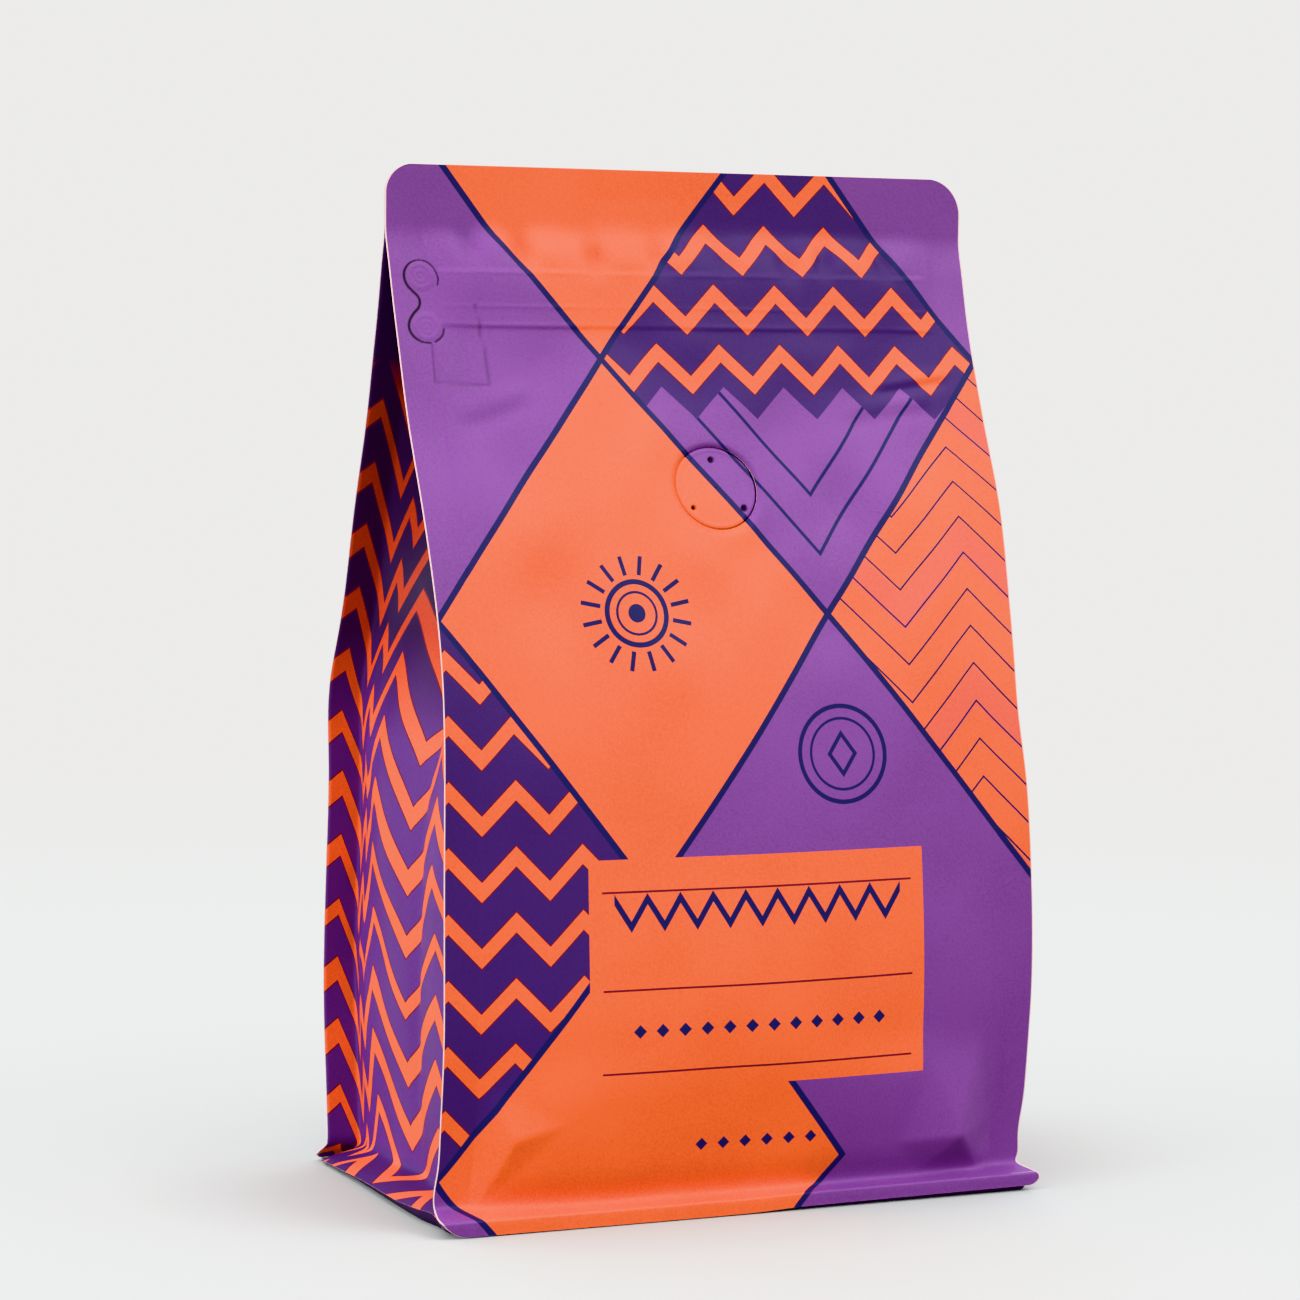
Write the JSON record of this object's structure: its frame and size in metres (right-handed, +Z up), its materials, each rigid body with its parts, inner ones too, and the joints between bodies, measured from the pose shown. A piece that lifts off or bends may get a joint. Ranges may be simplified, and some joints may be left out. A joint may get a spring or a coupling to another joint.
{
  "type": "flat-bottom coffee bag",
  "caption": "Shut flat-bottom pouch of coffee beans that stands up: flat top seal, zipper ribs, corner fins, folded side gussets, flared foot and a round vent valve.",
  "frame": {"origin": "middle of the base on the floor", "axes": "+Z up to the top seal, +X to the right along the front panel, -Y out of the front panel with the valve"},
  "size_m": [0.1422, 0.0884, 0.228],
  "materials": {
    "printed_film": "soft matte laminate film, printed in orange, violet and deep indigo",
    "valve_film": "the same printed film drawn over a round vent valve"
  },
  "bodies": {
    "root": {"pouch": "printed_film", "valve": "valve_film"}
  },
  "joints": []
}
